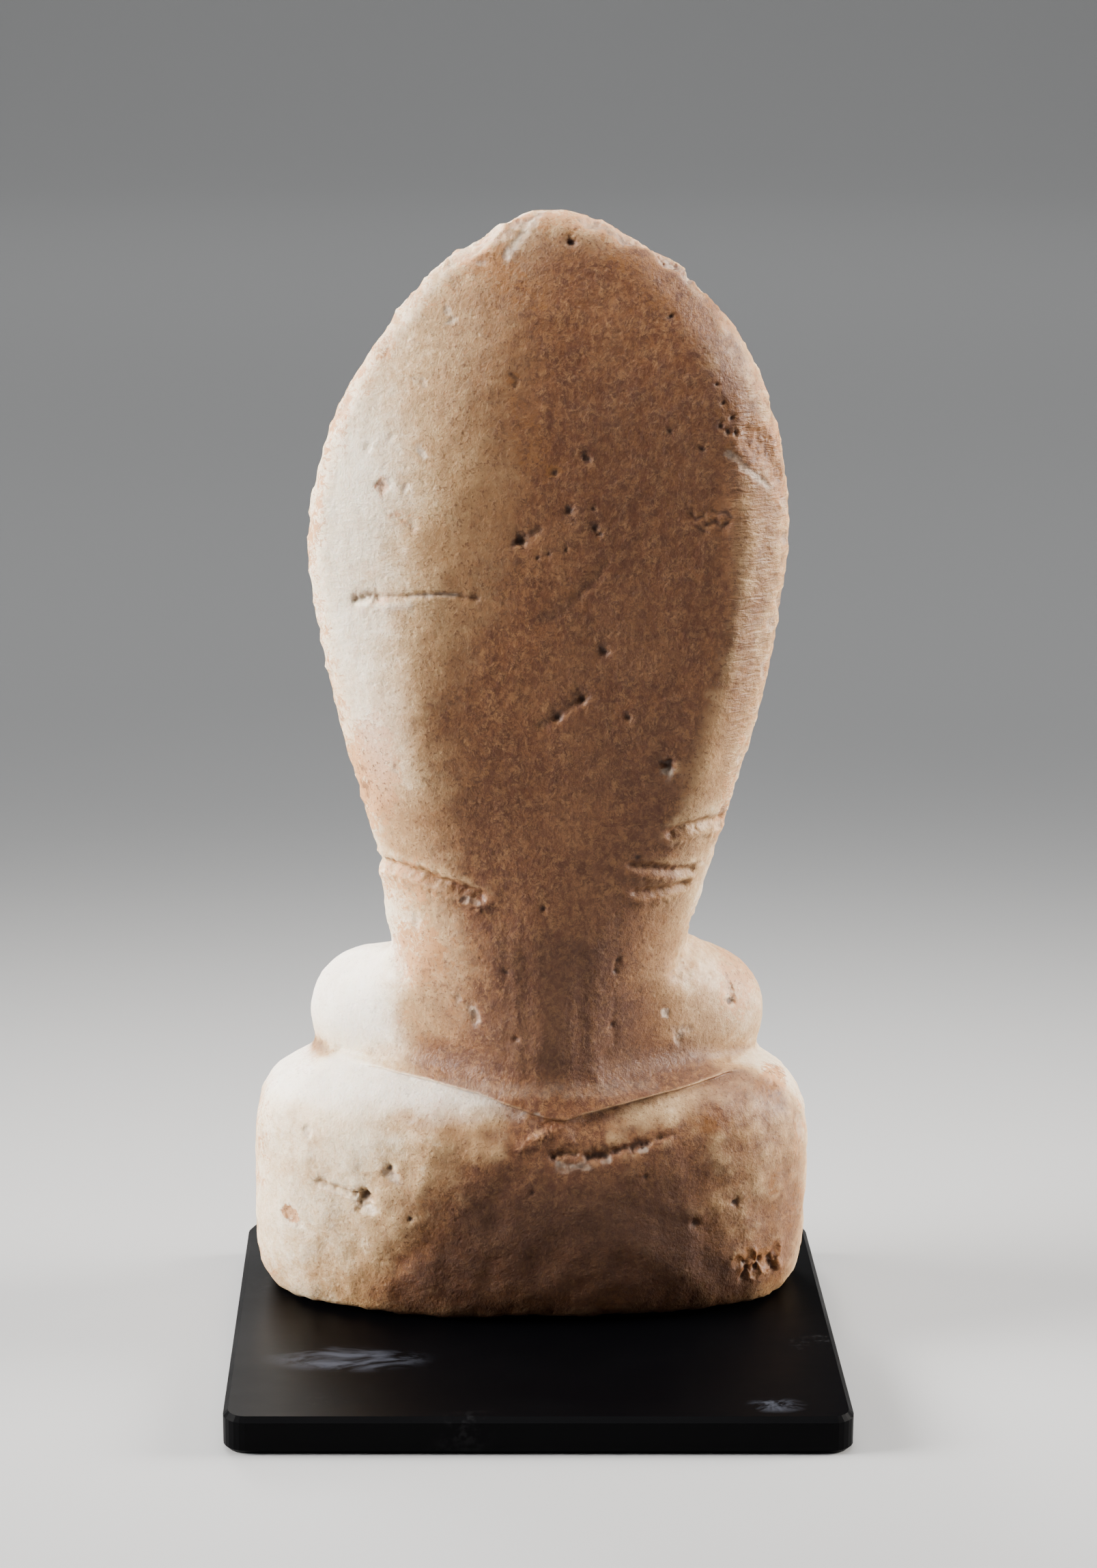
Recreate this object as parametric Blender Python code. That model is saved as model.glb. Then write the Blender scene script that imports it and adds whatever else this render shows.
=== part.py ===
"""A small seated Buddha carved from one block of alabaster, before a leaf-shaped halo, on a black slab.

The figure faces -Y and the halo's plain back faces +Y. Metres, +Z up, with the origin at the middle of
the slab's underside. The statue is set out in parts of its own height, 202 to the whole, so that one part
is one millimetre at the real size.
"""

import math

import bmesh
import bpy
import numpy as np
from mathutils import Matrix, Vector

STATUE_HEIGHT = 0.202
STATUE_PARTS = 202
PART = STATUE_HEIGHT / STATUE_PARTS

STAND_THICKNESS = 0.007
STAND_SIDE_MARGIN = 0.003
STAND_FRONT_MARGIN = 0.002
STAND_REAR_MARGIN = 0.039
STAND_CORNER_RADIUS = 0.004
STAND_EDGE_BEVEL = 0.0009
REST_GAP = 0.0003

THRONE_WIDTH = 104 * PART
THRONE_DEPTH = 49 * PART
STAND_WIDTH = THRONE_WIDTH + 2 * STAND_SIDE_MARGIN
STAND_DEPTH = THRONE_DEPTH + STAND_FRONT_MARGIN + STAND_REAR_MARGIN
STATUE_Y = STAND_DEPTH / 2 - STAND_REAR_MARGIN - THRONE_DEPTH / 2

# The throne is a cushion: a rounded block whose lower end is cut flat. All in parts.
THRONE_MIDDLE = 20
THRONE_HALF_HEIGHT = 26
THRONE_PLAN_ROUNDNESS = 2.4
THRONE_EDGE_ROUNDNESS = 5

# The halo is a leaf: an arch above its widest level, and a taper below it. All in parts.
HALO_WIDEST = 143
HALO_HALF_WIDTH = 42.8
HALO_FOOT = 86
HALO_FOOT_NARROWING = 11.9
ARCH_POINT = 0.59
TAPER_CURVE = 1.45
# Its back is a broad flat between a soft, wide left flank and a sharp, narrow bevel on the right.
RIGHT_BEVEL = 8.5
RIM_ROUNDING = 1.6
RIM_SHARE = 0.34
FLANKS_START = 76
FLANKS_WHOLE = 104
# Where the middle of the slab stands, and how wide its left flank is: (height, middle, left flank).
SLAB_MIDDLES = (
    (44, -1.0, 14),
    (64, -0.9, 14),
    (86, -2.0, 15),
    (110, -2.2, 16),
    (143, -2.1, 25),
    (165, -2.9, 26),
    (184, -3.8, 24),
    (195, -3.0, 20),
    (202, -1.8, 12),
)
RING_POINTS = 72
RING_SPACING = 2

# How the back slab changes with height: (height, front face, rim, back), each a distance along Y.
SLAB_DEPTHS = (
    (44, -2, 4, 15.0),
    (58, -2, 4, 18.5),
    (66, -1, 5, 21.0),
    (76, 0, 6, 21.2),
    (86, 3, 8, 21.2),
    (110, 4, 9, 21.5),
    (143, 4, 10, 20.5),
    (170, 4, 10, 18.0),
    (190, 4.5, 9.5, 14.0),
    (202, 5, 9, 10.5),
)
# Half the width of the trunk below the halo: (height, half width).
TRUNK_WIDTHS = ((44, 12), (52, 16), (58, 21), (64, 25.3), (71, 28.1), (79, 29.5), (86, 30.9))

FIGURE_X = -1
KNEE = (31, -6, 51)
KNEE_RADIUS = 12
THIGH = (19, 2, 57.5)
THIGH_RADIUS = 10
RIGHT_THIGH_RISE = 3
HIP_POINT_X = -2
HIP_POINT_Y = 16
HIP_POINT_RADIUS = 6
HIP_POINT_FOOT = 38
WAIST_LEVEL = 66

HEAD = (0, -5, 130)
HEAD_SCALE = 1.3
HEAD_RADII = (9.4, 10.0, 12.6)
JAW_NARROWING = 0.22

VOXEL = 0.85 * PART
SMOOTHING_PASSES = 2
STATUE_TRIANGLES = 8600


def clear_scene():
    for obj in list(bpy.data.objects):
        bpy.data.objects.remove(obj)


def material(name, colour, roughness, metallic=0.0):
    made = bpy.data.materials.new(name)
    made.use_nodes = True
    shader = made.node_tree.nodes["Principled BSDF"]
    shader.inputs["Base Color"].default_value = (*colour, 1)
    shader.inputs["Roughness"].default_value = roughness
    shader.inputs["Metallic"].default_value = metallic
    return made


def object_from(bm, name, finish):
    mesh = bpy.data.meshes.new(name)
    bm.to_mesh(mesh)
    bm.free()
    mesh.materials.append(finish)
    obj = bpy.data.objects.new(name, mesh)
    bpy.context.scene.collection.objects.link(obj)
    return obj


def value_at(stations, height, column=1):
    """A smooth reading of one column of a table of stations, which are sorted by height."""
    heights = [s[0] for s in stations]
    values = [s[column] for s in stations]
    slopes = np.gradient(values, heights)
    height = min(max(height, heights[0]), heights[-1])
    i = min(max(int(np.searchsorted(heights, height)) - 1, 0), len(heights) - 2)
    span = heights[i + 1] - heights[i]
    t = (height - heights[i]) / span
    start = (2 * t**3 - 3 * t**2 + 1) * values[i] + (t**3 - 2 * t**2 + t) * span * slopes[i]
    end = (3 * t**2 - 2 * t**3) * values[i + 1] + (t**3 - t**2) * span * slopes[i + 1]
    return start + end


# Shapes that the statue is fused from, all in parts


def ball(bm, centre, radii, turn=(0, 0, 0), around=24):
    """An ellipsoid, turned by three angles in degrees."""
    place = Matrix.Translation(centre)
    for axis, angle in zip("XYZ", turn):
        place = place @ Matrix.Rotation(math.radians(angle), 4, axis)
    place = place @ Matrix.Diagonal((*radii, 1))
    return bmesh.ops.create_uvsphere(
        bm, u_segments=around, v_segments=around // 2 + 2, radius=1, matrix=place
    )["verts"]


def limb(bm, start, end, start_radius, end_radius):
    """A round limb between two joints."""
    start, end = Vector(start), Vector(end)
    along = end - start
    ball(bm, start, (start_radius,) * 3)
    ball(bm, end, (end_radius,) * 3)
    place = Matrix.Translation((start + end) / 2) @ along.to_track_quat("Z", "Y").to_matrix().to_4x4()
    bmesh.ops.create_cone(
        bm, cap_ends=True, segments=24, radius1=start_radius, radius2=end_radius, depth=along.length, matrix=place
    )


def loft(bm, heights, section):
    """A closed skin over level rings; section gives the ring's point at a height and an angle."""
    rings = []
    for height in heights:
        at_end = height in (heights[0], heights[-1])
        ring = bmesh.ops.create_circle(bm, cap_ends=at_end, segments=RING_POINTS, radius=1)["verts"]
        for vert in ring:
            vert.co = section(height, math.atan2(vert.co.y, vert.co.x))
        rings.append(list({edge for vert in ring for edge in vert.link_edges}))
    for lower, upper in zip(rings, rings[1:]):
        bmesh.ops.bridge_loops(bm, edges=lower + upper)


# The pieces of the statue


def throne(bm):
    """A superellipsoid, wider than deep."""
    half_width = THRONE_WIDTH / PART / 2
    half_depth = THRONE_DEPTH / PART / 2
    for vert in ball(bm, (0, 0, 0), (1, 1, 1), around=72):
        flat = Vector((vert.co.x, vert.co.y))
        rise = math.asin(max(-1, min(1, vert.co.z)))
        turn = math.atan2(flat.y, flat.x)
        reach = abs(math.cos(rise)) ** (2 / THRONE_EDGE_ROUNDNESS)
        lift = math.copysign(abs(math.sin(rise)) ** (2 / THRONE_EDGE_ROUNDNESS), rise)
        x = math.copysign(abs(math.cos(turn)) ** (2 / THRONE_PLAN_ROUNDNESS), math.cos(turn))
        y = math.copysign(abs(math.sin(turn)) ** (2 / THRONE_PLAN_ROUNDNESS), math.sin(turn))
        vert.co = (
            half_width * reach * x,
            half_depth * reach * y,
            THRONE_MIDDLE + THRONE_HALF_HEIGHT * lift,
        )


def halo_half_width(height):
    if height >= HALO_WIDEST:
        rise = (height - HALO_WIDEST) / (STATUE_PARTS - HALO_WIDEST)
        return HALO_HALF_WIDTH * (1 - rise**2) ** ARCH_POINT
    drop = (HALO_WIDEST - height) / (HALO_WIDEST - HALO_FOOT)
    return HALO_HALF_WIDTH - HALO_FOOT_NARROWING * drop**TAPER_CURVE


def back_rise(gap, flank, curve):
    """The share of the back's full depth that is reached at a distance in from the slab's edge."""
    edge = math.sin(math.pi / 2 * min(1, gap / RIM_ROUNDING))
    return RIM_SHARE * edge + (1 - RIM_SHARE) * (1 - (1 - min(1, gap / flank)) ** curve)


def slab_section(height, angle):
    """The halo, with two unlike flanks behind, and below it the figure's round back."""
    front, rim, back = (value_at(SLAB_DEPTHS, height, column) for column in (1, 2, 3))
    middle, left_flank = (value_at(SLAB_MIDDLES, height, column) for column in (1, 2))
    if height >= HALO_FOOT:
        half_width = max(halo_half_width(height), 0.5)
    else:
        half_width = value_at(TRUNK_WIDTHS, height)
    across = math.cos(angle)
    if math.sin(angle) < 0:
        depth = rim + (front - rim) * abs(math.sin(angle)) ** 0.5
    else:
        left_rise = back_rise(half_width * (1 - across), left_flank, 1.7)
        right_rise = back_rise(half_width * (1 + across), RIGHT_BEVEL, 1.15)
        round_rise = (1 - abs(across) ** 2.3) ** 0.6
        share = min(1, max(0, (height - FLANKS_START) / (FLANKS_WHOLE - FLANKS_START)))
        depth = rim + (back - rim) * (share * min(left_rise, right_rise) + (1 - share) * round_rise)
    return middle + half_width * across, depth, height


def slab(bm):
    last = STATUE_PARTS - 0.4
    steps = int((last - SLAB_DEPTHS[0][0]) / RING_SPACING)
    loft(bm, list(np.linspace(SLAB_DEPTHS[0][0], last, steps)), slab_section)


def lap(bm):
    """The crossed legs' mass: knees to each side, drawn to a point behind the hips."""
    start = len(bm.verts)
    for side in (-1, 1):
        ball(bm, (FIGURE_X + side * KNEE[0], KNEE[1], KNEE[2]), (KNEE_RADIUS,) * 3)
        lift = RIGHT_THIGH_RISE if side < 0 else 0
        ball(bm, (FIGURE_X + side * THIGH[0], THIGH[1], THIGH[2] + lift), (THIGH_RADIUS,) * 3)
    for height in (HIP_POINT_FOOT, THIGH[2]):
        ball(bm, (HIP_POINT_X, HIP_POINT_Y, height), (HIP_POINT_RADIUS, HIP_POINT_RADIUS, 2))
    for turn in np.linspace(0, 2 * math.pi, 32, endpoint=False):
        bm.verts.new(slab_section(WAIST_LEVEL, turn))
    bm.verts.ensure_lookup_table()
    hull = bmesh.ops.convex_hull(bm, input=bm.verts[start:])
    inside = [v for v in hull["geom_interior"] if isinstance(v, bmesh.types.BMVert)]
    bmesh.ops.delete(bm, geom=inside, context="VERTS")


def legs(bm):
    """Shins crossed in front, the right one on top, with its foot on the left thigh."""
    limb(bm, (FIGURE_X + 30, -10, 50), (FIGURE_X - 10, -17, 50), 9, 6)
    limb(bm, (FIGURE_X - 31, -9, 53), (FIGURE_X + 6, -16, 56), 9.5, 6)
    ball(bm, (FIGURE_X + 14, -15, 60), (10, 5, 3), turn=(0, 14, 12))
    ball(bm, (FIGURE_X - 20, -19, 47.5), (9, 3.5, 3.5), turn=(0, 0, -8))


def torso(bm):
    ball(bm, (FIGURE_X, 2, 66), (15.5, 11, 20))
    ball(bm, (FIGURE_X, 2, 92), (19.5, 11.5, 17))
    limb(bm, (FIGURE_X - 15, 1.5, 101.5), (FIGURE_X + 15, 1.5, 101.5), 8, 8)
    limb(bm, (FIGURE_X, 0, 102), (FIGURE_X, -2, 120), 8.6, 7.2)


def arms(bm):
    for side in (-1, 1):
        shoulder = (FIGURE_X + side * 19.5, 1, 101.5)
        elbow = (FIGURE_X + side * 22.8, -2, 74)
        wrist = (FIGURE_X + side * 8, -15, 66.5)
        limb(bm, shoulder, elbow, 7.6, 6.0)
        limb(bm, elbow, wrist, 6.0, 4.3)


def hands(bm):
    """The right hand lies in the left, palms up, and the thumbs meet."""
    ball(bm, (FIGURE_X + 1, -17, 65), (12.5, 5.8, 2.8), turn=(12, 0, 0))
    ball(bm, (FIGURE_X - 1, -16.5, 68.4), (11.5, 5.2, 2.5), turn=(12, 0, 0))
    for side in (-1, 1):
        limb(bm, (FIGURE_X + side * 7.5, -15, 70), (FIGURE_X + side * 0.8, -15, 72.8), 1.9, 1.5)


def head_ball(bm, offset, radii, turn=(0, 0, 0)):
    """An ellipsoid placed from the middle of the head, in sizes of a head one half 12.6 high."""
    middle = Vector((HEAD[0] + FIGURE_X, HEAD[1], HEAD[2]))
    centre = middle + HEAD_SCALE * Vector(offset)
    return ball(bm, centre, [HEAD_SCALE * r for r in radii], turn)


def head_limb(bm, start, end, start_radius, end_radius):
    middle = Vector((HEAD[0] + FIGURE_X, HEAD[1], HEAD[2]))
    start = middle + HEAD_SCALE * Vector(start)
    end = middle + HEAD_SCALE * Vector(end)
    limb(bm, start, end, HEAD_SCALE * start_radius, HEAD_SCALE * end_radius)


def head(bm):
    """The skull and the jaw, the knot of hair on the crown, and long ears."""
    for vert in head_ball(bm, (0, 0, 0), HEAD_RADII):
        drop = max(0, (HEAD[2] - vert.co.z) / (HEAD_SCALE * HEAD_RADII[2]))
        vert.co.x = FIGURE_X + (vert.co.x - FIGURE_X) * (1 - JAW_NARROWING * drop**2)
    head_ball(bm, (0, 1.6, 3.2), (10.0, 10.2, 11.0))
    head_ball(bm, (0, 2.0, 13.0), (5.4, 5.4, 5.6))
    head_ball(bm, (0, -7.0, -9.8), (3.6, 2.8, 2.4))
    for side in (-1, 1):
        head_ball(bm, (side * 9.6, 1.5, -1.0), (1.6, 2.8, 5.6), turn=(-8, 0, 0))
        head_ball(bm, (side * 9.3, 0.8, -7.6), (1.5, 2.0, 5.0))


def face(bm):
    """A calm, general face on even proportions: eyes half way down, lids lowered."""
    head_limb(bm, (0, -9.0, 2.0), (0, -10.9, -4.0), 0.8, 1.3)
    head_ball(bm, (0, -9.9, -4.5), (2.1, 1.4, 1.1))
    head_ball(bm, (0, -9.2, -7.0), (2.8, 1.3, 0.7))
    head_ball(bm, (0, -8.8, -8.3), (2.2, 1.3, 0.7))
    for side in (-1, 1):
        head_ball(bm, (side * 3.7, -8.2, -0.2), (2.4, 1.4, 1.4), turn=(0, 0, side * 18))
        head_limb(bm, (side * 1.2, -9.2, 2.6), (side * 4.2, -8.4, 3.9), 0.6, 0.6)
        head_limb(bm, (side * 4.2, -8.4, 3.9), (side * 7.0, -6.6, 2.8), 0.6, 0.5)
        head_ball(bm, (side * 4.3, -5.7, -4.4), (3.6, 2.6, 3.8))


# Shallow carving, pressed into the fused surface. Each line is given in parts on the XZ plane.


def distance_to_line(x, z, line):
    """How far each point is, in the XZ plane, from a line of straight runs."""
    nearest = np.full(len(x), np.inf)
    for (ax, az), (bx, bz) in zip(line, line[1:]):
        dx, dz = bx - ax, bz - az
        share = np.clip(((x - ax) * dx + (z - az) * dz) / (dx * dx + dz * dz), 0, 1)
        nearest = np.minimum(nearest, np.hypot(x - ax - share * dx, z - az - share * dz))
    return nearest


HEM_LINE = ((15, 47.5), (-5, 46), (-24, 47.5))
HALO_FOOT_LEFT = ((29, 86), (20, 82.5), (11, 80.5), (4, 79))
HALO_FOOT_RIGHT = ((-34, 92), (-27, 91), (-20, 90))
GROOVE_WIDTH = 1.3
GROOVE_DEPTH = 0.55
ROBE_EDGE = ((9, 110), (4, 103), (-4, 95), (-13, 87), (-20, 82))
HALO_BORDER = 5


def halo_border_line():
    """A line that follows the halo's edge at an even distance inside it."""
    heights = np.linspace(HALO_FOOT + 14, STATUE_PARTS - HALO_BORDER - 2, 24)
    inside = [(value_at(SLAB_MIDDLES, h), max(halo_half_width(h) - HALO_BORDER, 0), h) for h in heights]
    left = [(middle + reach, h) for middle, reach, h in inside]
    right = [(middle - reach, h) for middle, reach, h in reversed(inside)]
    return left + right


def carve(mesh):
    """Presses the lines of the back and of the front into the surface, along its normals."""
    count = len(mesh.vertices)
    points = np.empty(count * 3, np.float32)
    normals = np.empty(count * 3, np.float32)
    mesh.vertices.foreach_get("co", points)
    mesh.vertex_normals.foreach_get("vector", normals)
    points = points.reshape(-1, 3).astype(float)
    normals = normals.reshape(-1, 3).astype(float)
    x, y, z = points.T
    behind = (normals[:, 1] > 0.2) & (y > 2)
    before = (normals[:, 1] < -0.2) & (y < 8)
    depth = np.zeros(count)

    def groove(line, where, deep=GROOVE_DEPTH, wide=GROOVE_WIDTH):
        cut = deep * np.exp(-((distance_to_line(x, z, line) / wide) ** 2))
        np.maximum(depth, np.where(where, cut, 0), out=depth)

    for line in (HEM_LINE, HALO_FOOT_LEFT, HALO_FOOT_RIGHT):
        groove(line, behind)
    groove(ROBE_EDGE, before, deep=0.8)
    groove(halo_border_line(), before & (y > 1), deep=0.8)
    points -= normals * depth[:, None]
    mesh.vertices.foreach_set("co", points.astype(np.float32).ravel())
    mesh.update()


def evaluated_mesh(obj):
    graph = bpy.context.evaluated_depsgraph_get()
    return bpy.data.meshes.new_from_object(obj.evaluated_get(graph))


def statue():
    """Fuses the pieces into one stone, carves it, and cuts its foot flat."""
    stone = material("alabaster", (0.62, 0.47, 0.36), 0.55)
    bm = bmesh.new()
    for piece in (throne, slab, lap, legs, torso, arms, hands, head, face):
        piece(bm)
    bmesh.ops.recalc_face_normals(bm, faces=bm.faces)
    obj = object_from(bm, "buddha_statue", stone)

    fuse = obj.modifiers.new("fuse", "REMESH")
    fuse.mode = "VOXEL"
    fuse.voxel_size = VOXEL / PART
    soften = obj.modifiers.new("soften", "SMOOTH")
    soften.factor = 0.5
    soften.iterations = SMOOTHING_PASSES
    carved = evaluated_mesh(obj)
    obj.modifiers.clear()
    carve(carved)

    bm = bmesh.new()
    bm.from_mesh(carved)
    bmesh.ops.transform(bm, matrix=Matrix.Scale(PART, 4), verts=bm.verts)
    cut = bmesh.ops.bisect_plane(
        bm, geom=bm.verts[:] + bm.edges[:] + bm.faces[:], plane_co=(0, 0, 0), plane_no=(0, 0, -1), clear_outer=True
    )
    rim = [e for e in cut["geom_cut"] if isinstance(e, bmesh.types.BMEdge)]
    bmesh.ops.contextual_create(bm, geom=rim)
    bm.to_mesh(carved)
    bm.free()
    obj.data = carved
    carved.materials.clear()
    carved.materials.append(stone)

    thin = obj.modifiers.new("thin", "DECIMATE")
    thin.ratio = STATUE_TRIANGLES / (2 * len(carved.polygons))
    thin.use_collapse_triangulate = True
    obj.location = (0, STATUE_Y, STAND_THICKNESS + REST_GAP)
    return obj


def stand():
    """A plain slab with rounded corners and fine bevels along its top and bottom edges."""
    lacquer = material("black_acrylic", (0.006, 0.006, 0.008), 0.28)
    bm = bmesh.new()
    place = Matrix.Translation((0, 0, STAND_THICKNESS / 2)) @ Matrix.Diagonal(
        (STAND_WIDTH, STAND_DEPTH, STAND_THICKNESS, 1)
    )
    bmesh.ops.create_cube(bm, size=1, matrix=place)
    upright = [e for e in bm.edges if abs(e.verts[0].co.z - e.verts[1].co.z) > STAND_THICKNESS / 2]
    bmesh.ops.bevel(bm, geom=upright, offset=STAND_CORNER_RADIUS, segments=6, profile=0.5, affect="EDGES")
    level = [e for e in bm.edges if abs(e.verts[0].co.z - e.verts[1].co.z) < REST_GAP]
    bmesh.ops.bevel(bm, geom=level, offset=STAND_EDGE_BEVEL, segments=1, profile=0.5, affect="EDGES")
    return object_from(bm, "display_stand", lacquer)


def main():
    clear_scene()
    stand()
    statue()


main()
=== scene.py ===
"""Dresses a small alabaster Buddha and its black slab stand, seen from behind.

Lengths are in metres. The carving of the stone is worked out in millimetres, in the same frame. A mark
that the photograph shows is given by its pixel in the frame of 1607 x 2296, and is cut where the
camera's ray through that pixel meets the stone.
"""

import math

import bmesh
import bpy
import numpy as np
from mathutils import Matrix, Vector, noise
from mathutils.bvhtree import BVHTree
from mathutils.kdtree import KDTree


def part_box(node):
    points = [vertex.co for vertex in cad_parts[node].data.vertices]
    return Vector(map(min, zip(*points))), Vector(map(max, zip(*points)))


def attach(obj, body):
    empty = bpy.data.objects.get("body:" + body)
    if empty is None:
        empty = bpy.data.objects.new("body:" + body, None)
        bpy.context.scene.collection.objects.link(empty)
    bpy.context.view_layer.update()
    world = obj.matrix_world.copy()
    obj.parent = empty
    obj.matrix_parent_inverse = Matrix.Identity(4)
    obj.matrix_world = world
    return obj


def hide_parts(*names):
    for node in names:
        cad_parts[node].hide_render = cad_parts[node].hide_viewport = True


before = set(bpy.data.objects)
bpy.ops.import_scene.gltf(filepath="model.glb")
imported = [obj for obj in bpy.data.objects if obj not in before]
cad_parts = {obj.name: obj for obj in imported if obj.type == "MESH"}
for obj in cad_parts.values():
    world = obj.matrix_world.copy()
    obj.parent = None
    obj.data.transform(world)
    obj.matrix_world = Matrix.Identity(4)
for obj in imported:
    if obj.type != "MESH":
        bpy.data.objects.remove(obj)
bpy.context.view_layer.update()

MM = 0.001

# The photograph's camera, solved from the edges of the stand. Its place and sensor are in millimetres.
PHOTO_WIDTH = 1607
PHOTO_HEIGHT = 2296
FOCAL_PIXELS = 5000
OPTICAL_AXIS = (652, 1148)
PITCH = math.radians(14.98)
CAMERA = Vector((16.25, 587.4, 265.8))
SENSOR = 36

# Side of the cells that the stone is remeshed in, and how often each part of it is softened
STONE_VOXEL = 1.16 * MM
STONE_SOFTENING = 6
HIP_SOFTENING = 30
LAP_SOFTENING = 80
HOLLOW_SOFTENING = 30
# The share of each mark's reach in which the faces are halved, one pass for each number
FINE_PASSES = (0.82, 0.52)
# How far the top of the throne runs in under the legs, and how far down it takes to come out again
SHELF_STEP = 2.0
SHELF_FALL = 9
# How thick the dirt in a pit is
PIT_DIRT = 0.9
# How wide the rusty band along the halo's edge is
EDGE_BAND = 5.5
# The place across at which the seam comes to its point
SEAM_MIDDLE = -3
# About how many millimetres of stone a pixel of the photograph spans, across and up
PIXEL_SPAN = (0.122, 0.125)

# The round studio, in metres
BOWL_FLOOR = 2.4
BOWL_BEND = 1.4
BOWL_HEIGHT = 6
BOWL_STEPS = 96
PAPER_GREY = 0.34
AIR_COLOUR = (0.92, 0.95, 1.0)
AIR_STRENGTH = 0.02
# Name, place, what it points at, width and height, watts, colour, spread in degrees
LIGHTS = (
    ("left_box", (0.60, 0.05, 0.34), (0, 0, 0.12), (0.35, 0.40), 2.5, (1.0, 0.98, 0.95), 40),
    ("right_box", (-0.62, -0.05, 0.34), (0, 0, 0.12), (0.30, 0.40), 1.6, (1.0, 0.95, 0.89), 40),
    ("top_box", (0.0, -0.12, 0.80), (0, 0, 0.1), (0.5, 0.3), 0.4, (1.0, 0.98, 0.96), 40),
    ("front_box", (0.30, -0.80, 0.50), (0, 0, 0.12), (0.4, 0.4), 0.6, (1.0, 0.99, 0.97), 30),
    ("sky_box", (0.0, 0.0, 3.4), (0, 0, 0.0), (4.0, 4.0), 45, (0.98, 0.99, 1.0), 80),
)
# The four lights that brighten the far wall, by the way they face
SWEEPS = (("north", 0, 1), ("south", 0, -1), ("east", 1, 0), ("west", -1, 0))
SWEEP_PLACE = (0.9, 2.6)
SWEEP_TARGET = (3.8, 1.0)
SWEEP_LAMP = ((1.4, 0.8), 20, (0.98, 0.99, 1.0), 110)

# Colours of the stone, from clean to soiled, with the palest laid on as painted highlight and the darkest
# brown as dirt and painted shade
PAINTED_HIGHLIGHT_STONE = (0.90, 0.85, 0.78)
BROKEN_STONE = (0.82, 0.71, 0.58)
IVORY, CREAM = (0.79, 0.67, 0.50), (0.72, 0.56, 0.37)
PALE_TAN, DEEP_TAN = (0.52, 0.34, 0.17), (0.43, 0.25, 0.11)
PALE_RUST, DEEP_RUST = (0.50, 0.25, 0.105), (0.200, 0.080, 0.020)
DARK_BROWN, LIGHT_BROWN = (0.078, 0.025, 0.008), (0.255, 0.120, 0.044)
RED_BROWN = (0.155, 0.053, 0.018)
WORN_BROWN = (0.255, 0.120, 0.048)
FIBRE_BROWN = (0.085, 0.022, 0.008)
FLECK_BROWN = (0.090, 0.030, 0.010)
CLOT_BROWN = (0.075, 0.022, 0.007)
DIRT_AND_SHADE_BROWN = (0.040, 0.014, 0.006)

# Colours of the slab, and its two smears by centre and reach along each axis, in metres
SHEET_BLACK = (0.0006, 0.0006, 0.0009)
DUST_GREY = (0.5, 0.5, 0.52)
SMEAR_BLUE = (0.30, 0.33, 0.42)
LONG_SMEAR = ((0.0337, 0.0205, 0.007), (0.017, 0.0065, 0.002))
SHORT_SMEAR = ((-0.0416, 0.0397, 0.007), (0.006, 0.0035, 0.002))


# Camera, floor and lights


def add_camera():
    data = bpy.data.cameras.new("photo_camera")
    data.sensor_width = SENSOR
    data.lens = FOCAL_PIXELS / PHOTO_HEIGHT * SENSOR
    data.shift_x = (PHOTO_WIDTH / 2 - OPTICAL_AXIS[0]) / PHOTO_HEIGHT
    data.clip_start = 0.01
    data.clip_end = 100
    camera = bpy.data.objects.new("photo_camera", data)
    camera.location = CAMERA * MM
    camera.rotation_euler = (math.pi / 2 - PITCH, 0, math.pi)
    bpy.context.scene.collection.objects.link(camera)
    bpy.context.scene.camera = camera


def add_light(name, place, target, size, power, colour, spread):
    data = bpy.data.lights.new(name, "AREA")
    data.shape = "RECTANGLE"
    data.size, data.size_y = size
    data.energy = power
    data.color = colour
    data.spread = math.radians(spread)
    lamp = bpy.data.objects.new(name, data)
    lamp.location = place
    lamp.rotation_euler = (Vector(place) - Vector(target)).to_track_quat("Z", "Y").to_euler()
    lamp.visible_camera = False
    bpy.context.scene.collection.objects.link(lamp)


def add_floor():
    """A round pale floor that curves up far away on every side."""
    bm = bmesh.new()
    bend = [
        (BOWL_FLOOR + BOWL_BEND * math.sin(turn), 0, BOWL_BEND * (1 - math.cos(turn)))
        for turn in np.linspace(0, math.pi / 2, 13)
    ]
    outline = [(0, 0, 0), (0.5, 0, 0), *bend, (BOWL_FLOOR + BOWL_BEND, 0, BOWL_HEIGHT)]
    profile = [bm.verts.new(place) for place in outline]
    edges = [bm.edges.new(pair) for pair in zip(profile, profile[1:])]
    turn = {"cent": (0, 0, 0), "axis": (0, 0, 1), "angle": 2 * math.pi, "steps": BOWL_STEPS}
    bmesh.ops.spin(bm, geom=profile + edges, use_merge=True, dvec=(0, 0, 0), **turn)
    bmesh.ops.remove_doubles(bm, verts=bm.verts, dist=1e-5)
    bmesh.ops.recalc_face_normals(bm, faces=bm.faces)
    bmesh.ops.reverse_faces(bm, faces=bm.faces)
    mesh = bpy.data.meshes.new("studio_floor")
    bm.to_mesh(mesh)
    bm.free()
    mesh.shade_smooth()
    floor = bpy.data.objects.new("studio_floor", mesh)
    bpy.context.scene.collection.objects.link(floor)
    paper, shader, _ = new_material("studio_paper")
    shader.inputs["Base Color"].default_value = (PAPER_GREY, PAPER_GREY, PAPER_GREY, 1)
    shader.inputs["Roughness"].default_value = 0.9
    mesh.materials.append(paper)


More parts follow.
